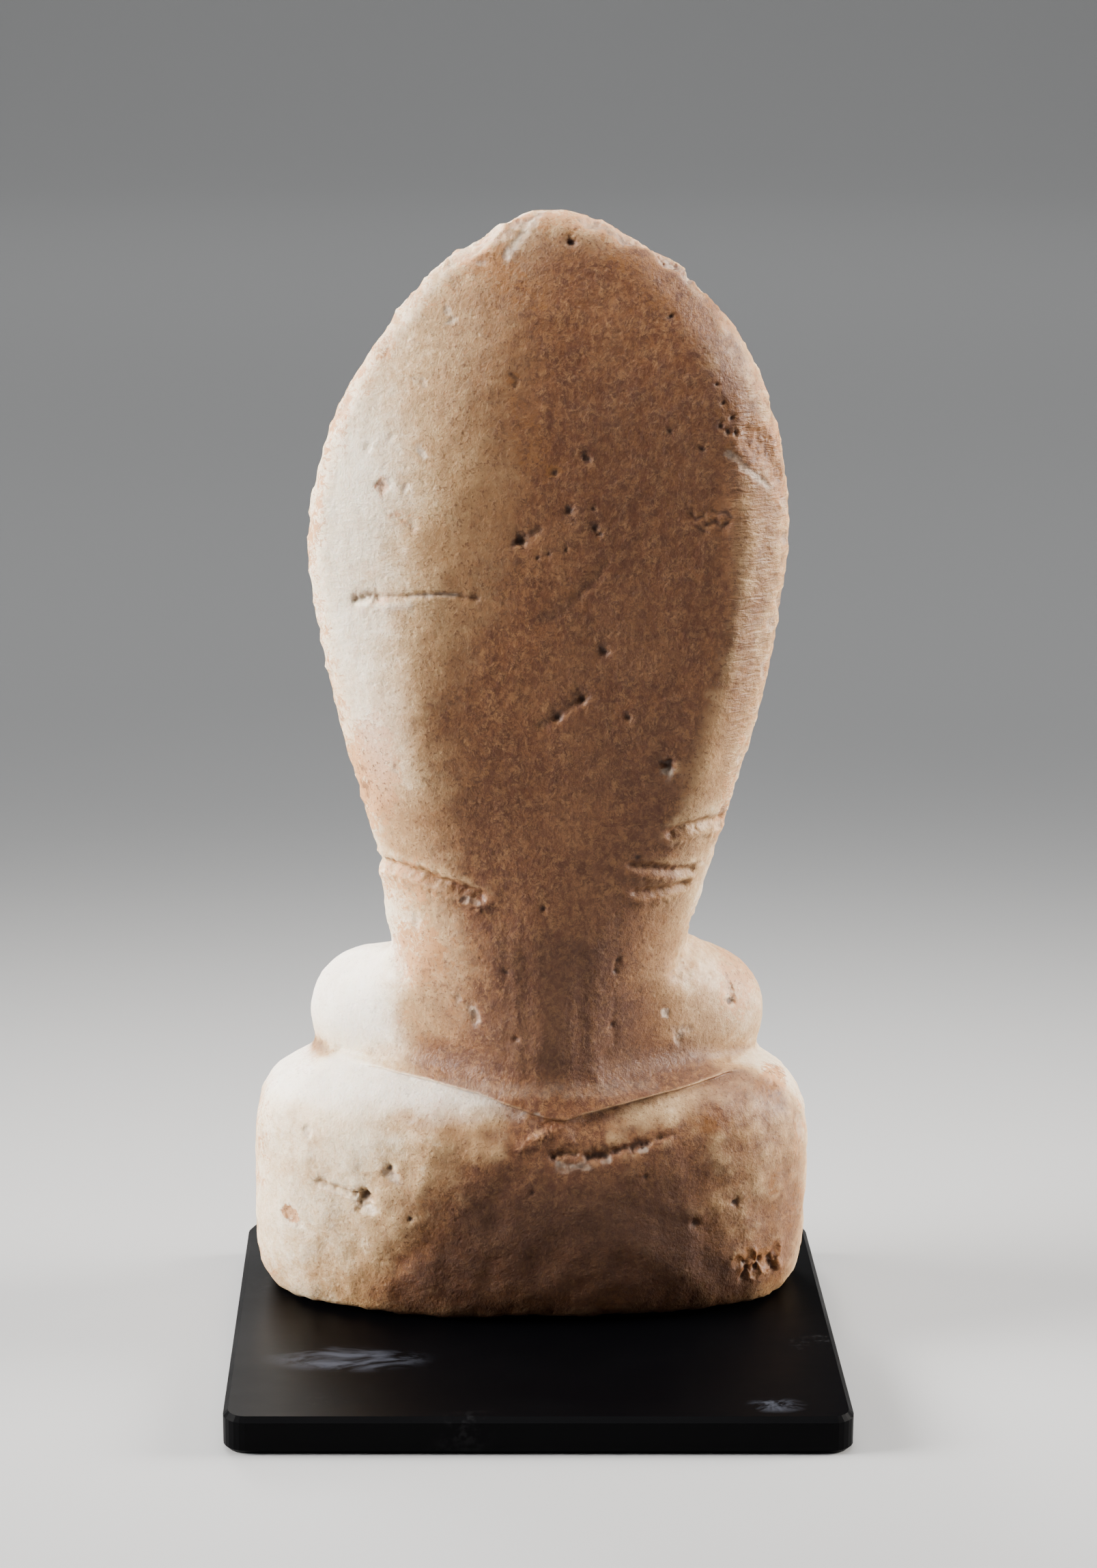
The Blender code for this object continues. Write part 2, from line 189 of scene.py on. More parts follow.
def add_lights():
    """Two boxes that graze the back, weak ones above and in front, and the wide ones of the studio."""
    world = bpy.data.worlds.new("studio_air")
    world.use_nodes = True
    air = world.node_tree.nodes["Background"].inputs
    air["Color"].default_value = (*AIR_COLOUR, 1)
    air["Strength"].default_value = AIR_STRENGTH
    bpy.context.scene.world = world
    for light in LIGHTS:
        add_light(*light)
    for name, x, y in SWEEPS:
        (out, height), (far_out, far_height) = SWEEP_PLACE, SWEEP_TARGET
        place, target = (out * x, out * y, height), (far_out * x, far_out * y, far_height)
        add_light("sweep_" + name, place, target, *SWEEP_LAMP)


# Materials


def new_material(name):
    made = bpy.data.materials.new(name)
    made.use_nodes = True
    return made, made.node_tree.nodes["Principled BSDF"], made.node_tree


class Painter:
    """Adds and links the nodes of one material."""

    def __init__(self, tree):
        self.tree = tree
        self.place = self.add("ShaderNodeTexCoord").outputs["Object"]

    def add(self, kind, **settings):
        node = self.tree.nodes.new(kind)
        for key, value in settings.items():
            setattr(node, key, value)
        return node

    def feed(self, socket, value):
        if isinstance(value, bpy.types.NodeSocket):
            self.tree.links.new(value, socket)
        elif isinstance(value, tuple) and len(value) == 3 and socket.type == "RGBA":
            socket.default_value = (*value, 1)
        else:
            socket.default_value = value

    def stretched(self, scale):
        """Object coordinates, with each axis multiplied."""
        node = self.add("ShaderNodeMapping")
        self.feed(node.inputs["Vector"], self.place)
        self.feed(node.inputs["Scale"], scale)
        return node.outputs["Vector"]

    def grain(self, scale, detail, roughness, place=None, distortion=0.0):
        node = self.add("ShaderNodeTexNoise")
        self.feed(node.inputs["Vector"], place or self.place)
        for key, value in (("Scale", scale), ("Detail", detail), ("Roughness", roughness)):
            self.feed(node.inputs[key], value)
        self.feed(node.inputs["Distortion"], distortion)
        return node.outputs["Fac"]

    def spot(self, centre, reach):
        """1 at a place, falling to 0 at its reach along each axis."""
        moved = self.add("ShaderNodeMapping", vector_type="TEXTURE")
        self.feed(moved.inputs["Vector"], self.place)
        self.feed(moved.inputs["Location"], centre)
        self.feed(moved.inputs["Scale"], reach)
        node = self.add("ShaderNodeTexGradient", gradient_type="SPHERICAL")
        self.feed(node.inputs["Vector"], moved.outputs["Vector"])
        return self.step(node.outputs["Fac"], 0.0, 0.7)

    def cells(self, scale):
        node = self.add("ShaderNodeTexVoronoi")
        self.feed(node.inputs["Vector"], self.place)
        self.feed(node.inputs["Scale"], scale)
        return node.outputs["Distance"]

    def step(self, value, low, high, to_low=0.0, to_high=1.0):
        """A smooth step between two values."""
        node = self.add("ShaderNodeMapRange", interpolation_type="SMOOTHSTEP")
        names = ("Value", "From Min", "From Max", "To Min", "To Max")
        for key, number in zip(names, (value, low, high, to_low, to_high)):
            self.feed(node.inputs[key], number)
        return node.outputs["Result"]

    def math(self, kind, a, b):
        node = self.add("ShaderNodeMath", operation=kind)
        self.feed(node.inputs[0], a)
        self.feed(node.inputs[1], b)
        return node.outputs["Value"]

    def plus(self, a, b):
        return self.math("ADD", a, b)

    def times(self, a, b):
        return self.math("MULTIPLY", a, b)

    def mix(self, share, a, b):
        node = self.add("ShaderNodeMix", data_type="RGBA")
        self.feed(node.inputs[0], share)
        self.feed(node.inputs[6], a)
        self.feed(node.inputs[7], b)
        return node.outputs[2]

    def painted(self, name):
        """The three channels of a colour attribute."""
        node = self.add("ShaderNodeAttribute", attribute_name=name)
        split = self.add("ShaderNodeSeparateColor")
        self.feed(split.inputs["Color"], node.outputs["Color"])
        return split.outputs

    def bump(self, height, distance, strength):
        node = self.add("ShaderNodeBump")
        self.feed(node.inputs["Height"], height)
        self.feed(node.inputs["Distance"], distance)
        self.feed(node.inputs["Strength"], strength)
        return node.outputs["Normal"]


def alabaster():
    """Waxy pale stone under an old brown stain with painted shade in it, painted highlights on the lit
    flanks, rust at the edges and dirt in every pit.
    """
    made, shader, tree = new_material("stained_alabaster")
    p = Painter(tree)
    stain_and_shade, rust, pale = (p.painted("soiling")[i] for i in range(3))
    dirt_and_shade, fresh, files = (p.painted("working")[i] for i in range(3))

    cloud = p.grain(55, 5, 0.6)
    mottle = p.grain(420, 5, 0.68)
    speck = p.grain(1500, 3, 0.7)
    clots = p.grain(230, 4, 0.62, distortion=0.6)
    fibres = p.grain(700, 4, 0.65, p.stretched((1.0, 1.0, 0.45)), 0.8)
    grit = p.grain(760, 8, 0.84, distortion=0.6)
    ochre = p.grain(640, 7, 0.80, distortion=1.0)

    # The clean stone, the tan of a light stain and the brown of a deep one, which also carry the painted
    # shade of the stain channel
    white = p.mix(p.step(cloud, 0.35, 0.65), IVORY, CREAM)
    tan = p.mix(p.step(cloud, 0.35, 0.65), PALE_TAN, DEEP_TAN)
    brown = p.mix(p.step(grit, 0.42, 0.60), DARK_BROWN, LIGHT_BROWN)
    brown = p.mix(p.step(mottle, 0.42, 0.60, 0.45, 0.0), brown, RED_BROWN)
    brown = p.mix(p.step(fibres, 0.48, 0.62, 0.0, 0.45), brown, FIBRE_BROWN)
    brown = p.mix(p.step(cloud, 0.42, 0.70, 0.0, 0.30), brown, WORN_BROWN)
    grainy = p.times(p.math("SUBTRACT", p.plus(mottle, p.times(grit, 1.6)), 1.3), 0.45)
    soaked = p.plus(stain_and_shade, grainy)
    colour = p.mix(p.step(soaked, 0.02, 0.50), white, tan)
    colour = p.mix(p.step(soaked, 0.30, 0.90), colour, brown)

    # Rust in crumbs, thicker where it is painted, and painted highlight on the flanks, knees and throne top
    # where the light falls
    rusted = p.step(p.plus(ochre, p.times(rust, 0.32)), 0.60, 0.71)
    orange = p.mix(p.step(stain_and_shade, 0.3, 0.8), PALE_RUST, DEEP_RUST)
    colour = p.mix(p.times(rusted, p.step(rust, 0.02, 0.30, 0.30, 1.0)), colour, orange)
    colour = p.mix(p.times(pale, p.step(mottle, 0.30, 0.60, 1.0, 0.80)), colour, PAINTED_HIGHLIGHT_STONE)

    # Dark flecks and clots in the soiled stone, then fresh breaks, then dirt and painted shade
    soiled = p.math("MAXIMUM", stain_and_shade, p.times(rust, 0.9))
    flecks = p.times(p.step(speck, 0.57, 0.65), p.step(soiled, 0.05, 0.8, 0.18, 1.0))
    colour = p.mix(p.times(flecks, 0.75), colour, FLECK_BROWN)
    clotting = p.step(p.plus(clots, p.times(rust, 0.12)), 0.61, 0.69)
    clotted = p.times(clotting, p.times(soiled, p.step(fibres, 0.44, 0.58)))
    colour = p.mix(p.times(clotted, 0.85), colour, CLOT_BROWN)
    colour = p.mix(p.times(fresh, p.step(mottle, 0.30, 0.60, 0.35, 0.75)), colour, BROKEN_STONE)
    colour = p.mix(dirt_and_shade, colour, DIRT_AND_SHADE_BROWN)
    p.feed(shader.inputs["Base Color"], colour)

    p.feed(shader.inputs["Roughness"], p.step(mottle, 0.3, 0.7, 0.48, 0.68))
    shader.inputs["Specular IOR Level"].default_value = 0.40
    shader.inputs["Subsurface Weight"].default_value = 0.20
    shader.inputs["Subsurface Radius"].default_value = (1.0, 0.50, 0.25)
    shader.inputs["Subsurface Scale"].default_value = 0.0035

    scratches = p.grain(100, 3, 0.6, p.stretched((2.6, 2.6, 10.0)), 0.5)
    pocks = p.step(p.cells(520), 0.0, 0.30)
    relief = p.plus(p.times(speck, 0.40), p.times(mottle, 0.75))
    relief = p.plus(relief, p.times(pocks, 0.20))
    relief = p.plus(relief, p.times(scratches, p.times(files, 2.6)))
    p.feed(shader.inputs["Normal"], p.bump(relief, 0.0004, 0.8))
    return made


def black_acrylic():
    """Near black sheet with a satin skin, faint dust and two wiped smears."""
    made, shader, tree = new_material("black_acrylic")
    p = Painter(tree)
    haze = p.grain(14, 4, 0.6, p.stretched((1.0, 2.2, 1.0)))
    dust = p.times(p.step(haze, 0.58, 0.72), p.step(p.grain(700, 2, 0.6), 0.45, 0.7))
    wiped = p.grain(160, 4, 0.7, p.stretched((0.4, 1.0, 1.0)), 1.2)
    long_smear = p.times(p.spot(*LONG_SMEAR), p.step(wiped, 0.44, 0.66))
    short_smear = p.times(p.spot(*SHORT_SMEAR), p.step(wiped, 0.40, 0.60))
    black = p.mix(p.times(dust, 0.03), SHEET_BLACK, DUST_GREY)
    smears = p.times(p.plus(long_smear, short_smear), 0.10)
    p.feed(shader.inputs["Base Color"], p.mix(smears, black, SMEAR_BLUE))
    p.feed(shader.inputs["Roughness"], p.step(haze, 0.35, 0.70, 0.38, 0.52))
    shader.inputs["Specular IOR Level"].default_value = 0.04
    p.feed(shader.inputs["Normal"], p.bump(p.grain(900, 2, 0.5), 0.00002, 0.4))
    return made


# The stone's mesh


def ray_through(pixel):
    """Which way the camera looks through a pixel."""
    across = (OPTICAL_AXIS[0] - pixel[0]) / FOCAL_PIXELS
    up = (OPTICAL_AXIS[1] - pixel[1]) / FOCAL_PIXELS
    return Vector((across, -math.cos(PITCH) - up * math.sin(PITCH), up * math.cos(PITCH) - math.sin(PITCH)))


def meet(tree, pixel):
    """Where the camera's ray through a pixel meets the stone, or comes nearest to it."""
    ray = ray_through(pixel)
    hit, normal, _, _ = tree.ray_cast(CAMERA * MM, ray.normalized())
    if hit is None:
        reach = (CAMERA.y + 10) / -ray.y
        hit, normal, _, _ = tree.find_nearest((CAMERA + ray * reach) * MM)
    return np.array(hit) / MM, np.array(normal)


def find_seam(obj):
    """Places across and heights of the seam between the legs and the throne, on the back."""
    tree = BVHTree.FromObject(obj, bpy.context.evaluated_depsgraph_get())
    x, _, z = np.array([meet(tree, pixel)[0] for pixel in reversed(SEAM)]).T
    return x, z


def evaluated_mesh(obj):
    graph = bpy.context.evaluated_depsgraph_get()
    return bpy.data.meshes.new_from_object(obj.evaluated_get(graph))


def soften(obj, passes, share=None):
    """Smooths a mesh, at each vertex as far as its share says where shares are given."""
    smoother = obj.modifiers.new("soften", "SMOOTH")
    smoother.factor = 0.5
    smoother.iterations = passes
    if share is not None:
        group = obj.vertex_groups.new(name="softened")
        for i in np.flatnonzero(share > 0.001):
            group.add([int(i)], float(share[i]), "REPLACE")
        smoother.vertex_group = "softened"
    obj.data = evaluated_mesh(obj)
    obj.modifiers.clear()
    obj.vertex_groups.clear()


def even_copy(node, name):
    """A closed copy of a node's solid, in even small faces with softened edges."""
    bm = bmesh.new()
    bm.from_mesh(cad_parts[node].data)
    bmesh.ops.remove_doubles(bm, verts=bm.verts, dist=1e-6)
    mesh = bpy.data.meshes.new(name)
    bm.to_mesh(mesh)
    bm.free()
    obj = bpy.data.objects.new(name, mesh)
    bpy.context.scene.collection.objects.link(obj)
    even = obj.modifiers.new("even", "REMESH")
    even.mode = "VOXEL"
    even.voxel_size = STONE_VOXEL
    soften(obj, STONE_SOFTENING)
    return obj


def vertex_places(mesh):
    """Places across, back and up of a mesh's vertices, in millimetres, as rows."""
    places = np.empty(len(mesh.vertices) * 3, np.float32)
    mesh.vertices.foreach_get("co", places)
    return places.reshape(-1, 3).astype(float) / MM


def soften_hips(obj):
    """Takes the last edges off the round of the back, from the seat up to the flat of the halo."""
    _, y, z = vertex_places(obj.data).T
    ramps = ((z - 54.5) / 4, (122 - z) / 8, (y + 19) / 6)
    soften(obj, HIP_SOFTENING, np.prod([np.clip(ramp, 0, 1) for ramp in ramps], axis=0))


def fill_lap(obj, seam):
    """Lets the back of the legs run on down to the seam, which lies lower than the top of the throne."""
    x, y, z = vertex_places(obj.data).T
    floor = np.interp(x, *seam)
    height = smooth(z, floor - 1.5, floor + 0.5) * smooth(z, 59, 54)
    soften(obj, LAP_SOFTENING, height * smooth(y, -12, -6) * smooth(np.abs(x - SEAM_MIDDLE), 42, 33))


# The colour attributes, and what their three channels hold
PAINTS = {"soiling": ("stain_and_shade", "rust", "pale"), "working": ("dirt_and_shade", "fresh", "files")}


class Stone:
    """The carved surface as arrays, in millimetres, with what is painted on it."""

    def __init__(self, obj, seam):
        self.obj = obj
        self.seam = seam
        self.read()

    def read(self):
        self.points = vertex_places(self.obj.data)
        self.read_normals()
        self.tree = BVHTree.FromObject(self.obj, bpy.context.evaluated_depsgraph_get())
        self.paint = {key: np.zeros(len(self.points)) for keys in PAINTS.values() for key in keys}
        self.tooth = 1 + 0.55 * field(self.points, 0.95, 2, 6.1) + 0.25 * field(self.points, 0.35, 2, 9.2)

    def read_normals(self):
        normals = np.empty(len(self.obj.data.vertices) * 3, np.float32)
        self.obj.data.vertex_normals.foreach_get("vector", normals)
        self.normals = normals.reshape(-1, 3).astype(float)

    def write(self):
        self.obj.data.vertices.foreach_set("co", (self.points * MM).astype(np.float32).ravel())
        self.obj.data.update()
        self.read_normals()

    def at(self, pixel):
        return meet(self.tree, pixel)

    def on_line(self, pixels):
        return [self.at(pixel)[0] for pixel in pixels]

    def in_front(self, x, z):
        """The first stone met from the figure's front, at a place across and a height."""
        hit, _, _, _ = self.tree.ray_cast(Vector((x, -200, z)) * MM, Vector((0, 1, 0)))
        if hit is None:
            hit, _, _, _ = self.tree.find_nearest(Vector((x, -20, z)) * MM)
        return np.array(hit) / MM

    def hollows(self):
        """How far each vertex lies below the stone's own softened surface: above 0 in a hollow."""
        carved = self.obj.data
        soften(self.obj, HOLLOW_SOFTENING)
        softened, self.obj.data = self.obj.data, carved
        places = vertex_places(softened)
        bpy.data.meshes.remove(softened)
        return ((places - self.points) * self.normals).sum(axis=1)

    def add_paint(self, key, share):
        """Lays paint on, which shows where it is thicker than what is there."""
        self.paint[key] = np.maximum(self.paint[key], share)

    def distance(self, line):
        """How far each vertex is from a line of straight runs, or from one point."""
        nearest = np.full(len(self.points), np.inf)
        for start, end in zip(line, line[1:] or line):
            run = end - start
            share = np.clip(((self.points - start) @ run) / max(run @ run, 1e-9), 0, 1)
            gap = np.linalg.norm(self.points - start - share[:, None] * run, axis=1)
            nearest = np.minimum(nearest, gap)
        return nearest

    def distance_to_edge(self):
        """How far across each vertex is from the widest stone at its own height, on its own side."""
        x, _, z = self.points.T
        levels = np.round(z).astype(int)
        top = levels.max() + 1
        left, right = np.full(top, -np.inf), np.full(top, np.inf)
        np.maximum.at(left, levels, x)
        np.minimum.at(right, levels, x)
        return np.minimum(left[levels] - x, x - right[levels])

    def push(self, amount):
        """Moves the surface in along its normals."""
        self.points -= self.normals * amount[:, None]

    def pit(self, place, radius, depth):
        """A small round hole with dirt in it."""
        reach = self.distance([place]) * self.tooth
        self.push(depth * np.exp(-((reach / radius) ** 2)))
        self.add_paint("dirt_and_shade", PIT_DIRT * smooth(reach, radius * 1.2, radius * 0.4))

    def groove(self, line, width, depth, dirt_and_shade=0.0, lip=0.0):
        """A channel along a line, or a ridge where its depth is below 0, with raised lips where asked."""
        reach = self.distance(line) * (0.5 + 0.5 * self.tooth)
        amount = depth * np.exp(-((reach / width) ** 2)) * np.clip(1.6 - 0.6 * self.tooth, 0.3, 1.4)
        if lip:
            amount -= lip * np.exp(-(((reach - 1.9 * width) / width) ** 2))
        self.push(amount)
        if dirt_and_shade:
            self.add_paint("dirt_and_shade", dirt_and_shade * smooth(reach, width * 1.1, width * 0.35))

    def bite(self, place, normal, radius, depth, fresh, rust):
        """Scoops an uneven, longish ball out of the surface, which leaves a crisp, ragged edge."""
        depth = 0.75 * depth
        centre = place + normal * (radius - depth)
        arm = self.points - centre
        turn = 2.3 * place.sum()
        aside = np.cross(normal, (0.31, 0.17, 1.0))
        aside /= np.linalg.norm(aside)
        along_it = math.cos(turn) * aside + math.sin(turn) * np.cross(normal, aside)
        height = arm @ normal
        lateral = arm - height[:, None] * normal
        reach = np.sqrt((lateral ** 2).sum(axis=1) - 0.6 * (lateral @ along_it) ** 2)
        reach *= 0.55 + 0.45 * self.tooth
        floor = -np.sqrt(np.maximum(radius ** 2 - reach ** 2, 0)) + 0.45 * depth * (self.tooth - 1)
        within = (reach < radius) & (np.abs(height) < radius + depth)
        cut = np.where(within, np.maximum(height - floor, 0), 0)
        self.points -= cut[:, None] * normal
        share = np.clip(cut / (0.45 * depth), 0, 1)
        self.add_paint("fresh", fresh * share * np.clip(1.9 - 0.9 * self.tooth, 0.25, 1))
        self.add_paint("rust", rust * share)

    def scar(self, line, width, depth, fresh):
        """Roughly broken stone along a line, bright and uneven."""
        reach = self.distance(line) * (0.35 + 0.65 * self.tooth)
        share = smooth(reach, width * 1.25, width * 0.45)
        self.push(depth * share * np.clip(2.2 - 1.2 * self.tooth, -0.4, 2.0))
        self.add_paint("fresh", 0.75 * fresh * share * np.clip(2.0 - 1.2 * self.tooth, 0, 1))


def smooth(value, zero_at, one_at):
    """0 to 1 as the value goes from one number to the other, whichever is the larger."""
    share = np.clip((value - zero_at) / (one_at - zero_at), 0, 1)
    return share * share * (3 - 2 * share)


def band(value, start, whole, still_whole, end):
    """A smooth rise to 1 followed by a smooth fall back to 0."""
    return smooth(value, start, whole) * smooth(value, end, still_whole)


def field(points, scale, octaves, seed):
    """Fractal noise at each point, about -1 to 1."""
    shift = Vector((seed, seed * 1.7, seed * 0.6))
    return np.array([noise.fractal(Vector(p) * scale + shift, 1.0, 2.0, octaves) for p in points])


# What the camera's side of the stone shows. Widths, depths and radii are in millimetres.

# Pixel, radius, depth
PITS = (
    (835, 354, 0.8, 0.9), (983, 463, 0.5, 0.5), (1050, 563, 0.4, 0.4), (1060, 590, 0.4, 0.4),
    (1072, 612, 0.6, 0.5), (1056, 624, 0.5, 0.4), (1078, 634, 0.5, 0.5), (1066, 632, 0.5, 0.4),
    (1030, 658, 0.5, 0.4), (982, 632, 0.5, 0.3), (862, 672, 0.6, 0.4), (855, 668, 0.4, 0.3),
    (812, 693, 0.6, 0.3), (834, 748, 0.7, 0.4), (869, 745, 0.4, 0.3), (872, 775, 0.7, 0.5),
    (880, 782, 0.5, 0.4), (804, 812, 0.4, 0.3), (788, 817, 0.4, 0.3), (829, 806, 0.4, 0.3),
    (763, 791, 1.0, 0.9), (885, 954, 0.8, 0.6), (852, 1024, 0.8, 0.9), (816, 1050, 0.7, 0.6),
    (920, 1051, 0.7, 0.5), (978, 1121, 1.0, 1.1), (796, 1331, 0.6, 0.5), (934, 1255, 0.6, 0.4),
    (905, 1407, 0.6, 0.4), (901, 1422, 0.5, 0.3), (756, 1521, 0.6, 0.4), (897, 1500, 0.5, 0.3),
    (742, 1425, 0.6, 0.3), (1070, 1465, 0.8, 0.5), (1076, 1761, 0.8, 0.6), (1018, 1793, 0.8, 0.6),
    (946, 1724, 0.6, 0.4), (534, 1754, 1.3, 1.2), (826, 1690, 0.8, 0.8), (877, 1694, 0.7, 0.7),
    (930, 1679, 0.7, 0.7), (780, 1748, 0.5, 0.4), (601, 1786, 0.5, 0.4), (571, 1712, 0.7, 0.5),
)
# Pixels along the mark, width, depth, how dark
STREAKS = (
    (((755, 795), (770, 787), (789, 775)), 0.9, 0.2, 0.62),
    (((852, 1025), (834, 1037), (812, 1052), (792, 1061)), 0.9, 0.2, 0.45),
    (((796, 904), (815, 898), (848, 874)), 1.5, 0.15, 0.50),
    (((848, 874), (866, 855), (890, 826)), 0.9, 0.15, 0.42),
    (((906, 1340), (902, 1372), (907, 1400), (904, 1430)), 0.9, 0.08, 0.38),
    (((901, 1470), (896, 1500), (898, 1525), (884, 1548)), 0.9, 0.15, 0.40),
    (
        ((810, 1692), (840, 1690), (877, 1694), (906, 1686), (936, 1676), (965, 1668), (992, 1660)),
        0.4, 0.3, 0.40,
    ),
    (((812, 1693), (828, 1688), (843, 1691)), 0.7, 0.8, 0.90),
    (((862, 1696), (876, 1692), (888, 1693)), 0.8, 0.9, 0.95),
    (((902, 1688), (914, 1682)), 0.6, 0.7, 0.85),
    (((926, 1680), (938, 1674), (948, 1675)), 0.7, 0.8, 0.90),
    (((962, 1669), (974, 1663)), 0.5, 0.6, 0.75),
    (((1090, 1848), (1094, 1860), (1088, 1870)), 0.6, 0.7, 0.85),
    (((1110, 1842), (1108, 1856)), 0.6, 0.7, 0.85),
    (((1127, 1842), (1131, 1856)), 0.6, 0.7, 0.80),
    (((521, 879), (538, 873), (552, 874)), 0.8, 0.8, 0.30),
    (((552, 874), (600, 872), (650, 870), (700, 877)), 0.4, 0.3, 0.28),
    (((466, 1731), (500, 1742), (534, 1754)), 0.7, 0.6, 0.18),
    (((1012, 752), (1020, 760), (1030, 756)), 0.5, 0.2, 0.80),
    (((1036, 768), (1048, 764), (1058, 772), (1066, 766)), 0.5, 0.2, 0.80),
    (((1044, 748), (1052, 752), (1064, 750), (1072, 758)), 0.5, 0.2, 0.75),
    (((1024, 774), (1032, 778)), 0.4, 0.2, 0.70),
    (((748, 548), (758, 556), (754, 566)), 0.5, 0.1, 0.60),
    (((743, 1360), (740, 1410), (746, 1470), (744, 1565)), 0.9, 0.06, 0.28),
)
# Pixels along the mark, width, depth
CREASES = (
    (((557, 1258), (580, 1266), (617, 1279), (660, 1295), (704, 1312)), 1.0, 0.8),
    (((1056, 1198), (1030, 1203), (1005, 1210), (985, 1219)), 1.0, 0.8),
    (((925, 1266), (950, 1269), (975, 1273), (1012, 1272)), 0.8, 0.6),
    (((931, 1306), (965, 1304), (1002, 1292)), 0.8, 0.6),
    (((768, 1392), (775, 1430), (770, 1480), (774, 1565)), 1.3, 0.06),
    (((848, 1402), (854, 1450), (849, 1510), (853, 1578)), 1.3, 0.08),
    (((566, 1365), (578, 1392), (588, 1420)), 1.8, 0.5),
    (((1026, 1340), (1010, 1380), (992, 1420)), 2.0, 0.6),
)
# Pixels along the mark, width, height
RIDGES = (
    (((863, 1372), (870, 1415), (866, 1470), (873, 1520), (872, 1578)), 1.9, 0.12),
    (((757, 1400), (761, 1480), (759, 1570)), 1.8, 0.06),
    (((782, 1375), (786, 1470), (789, 1582)), 1.8, 0.06),
    (((766, 1682), (785, 1668), (806, 1655)), 0.9, 0.7),
    (((806, 1655), (828, 1648), (836, 1670)), 0.9, 0.4),
    (((562, 1272), (610, 1289), (655, 1305), (702, 1324)), 1.5, 0.30),
    (((985, 1230), (1015, 1219), (1052, 1210)), 1.5, 0.30),
    (((925, 1279), (965, 1285), (1010, 1284)), 1.1, 0.30),
    (((935, 1318), (968, 1316), (1002, 1304)), 1.1, 0.25),
    (((1080, 1846), (1082, 1850)), 1.2, 0.8), (((1100, 1838), (1101, 1841)), 1.1, 0.9),
    (((1118, 1850), (1119, 1854)), 1.4, 0.9), (((1136, 1830), (1137, 1834)), 1.1, 0.8),
    (((1104, 1864), (1105, 1867)), 1.1, 0.7), (((1140, 1850), (1140, 1853)), 1.0, 0.6),
)
# Pixels along the mark, width, depth, how bright
SCARS = (
    (((794, 306), (787, 318), (772, 333), (760, 352), (742, 374)), 0.9, 0.16, 0.75),
    (((776, 320), (765, 331)), 0.6, 0.10, 0.40),
    (((925, 346), (955, 362), (985, 384), (1012, 404), (1032, 416)), 1.5, 0.45, 0.50),
    (((1066, 664), (1079, 671), (1089, 684), (1105, 695), (1126, 712)), 0.7, 0.18, 0.60),
    (((528, 886), (548, 890), (568, 888), (600, 884)), 0.7, -0.15, 0.75),
    (((600, 873), (640, 871), (668, 872)), 0.4, 0.15, 0.45),
    (((820, 1706), (838, 1711), (852, 1706)), 0.7, 0.08, 0.50),
    (((884, 1702), (894, 1700)), 0.5, 0.05, 0.45),
    (((938, 1686), (946, 1684)), 0.5, 0.05, 0.40),
    (((690, 1478), (700, 1494)), 0.8, 0.15, 0.45),
    (((990, 1520), (998, 1512)), 0.7, 0.15, 0.50),
    (((470, 1736), (500, 1748), (522, 1756)), 0.6, -0.15, 0.45),
    (((766, 1642), (785, 1634), (800, 1646)), 0.7, 0.10, 0.55),
    # The last has no depth and only paints a pale band along the hem: a painted highlight where the hem's
    # bevel catches the light.
    (((650, 1588), (720, 1597), (800, 1596), (880, 1597), (955, 1589)), 1.5, 0.0, 0.13),
)
# The seam between the legs and the throne
SEAM = (
    (455, 1524), (500, 1545), (560, 1562), (630, 1582), (700, 1602), (762, 1626), (806, 1641),
    (832, 1641), (900, 1622), (960, 1606), (1020, 1590), (1066, 1570), (1100, 1548), (1114, 1534),
)
